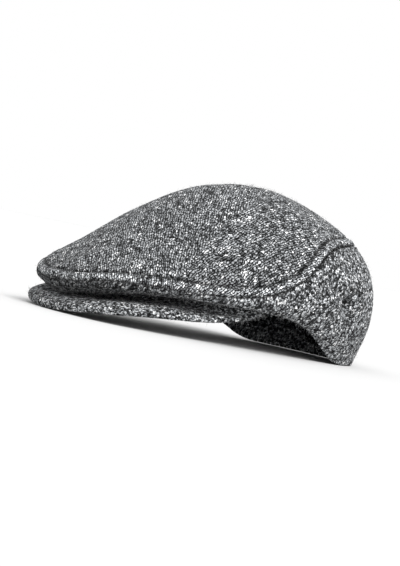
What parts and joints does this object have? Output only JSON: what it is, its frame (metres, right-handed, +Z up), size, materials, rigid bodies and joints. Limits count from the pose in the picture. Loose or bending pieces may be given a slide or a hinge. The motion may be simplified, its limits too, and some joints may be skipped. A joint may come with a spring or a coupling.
{
  "type": "flat cap",
  "caption": "Round-crowned flat cap of grey marled wool, with side panels and a stiff, cloth-covered peak under the front of the crown.",
  "frame": {"origin": "on the table, under the middle of the cap as it rests by itself", "axes": "+X to the wearer's left, +Y to the back of the cap, +Z up; the peak points to -Y"},
  "size_m": [0.1906, 0.2718, 0.1214],
  "materials": {
    "wool_tweed": "matte marled wool in white, grey and charcoal flecks, with a fine ribbed grain"
  },
  "bodies": {
    "root": {"crown_top": "wool_tweed", "side_panel_left": "wool_tweed", "side_panel_right": "wool_tweed", "peak": "wool_tweed"}
  },
  "joints": []
}
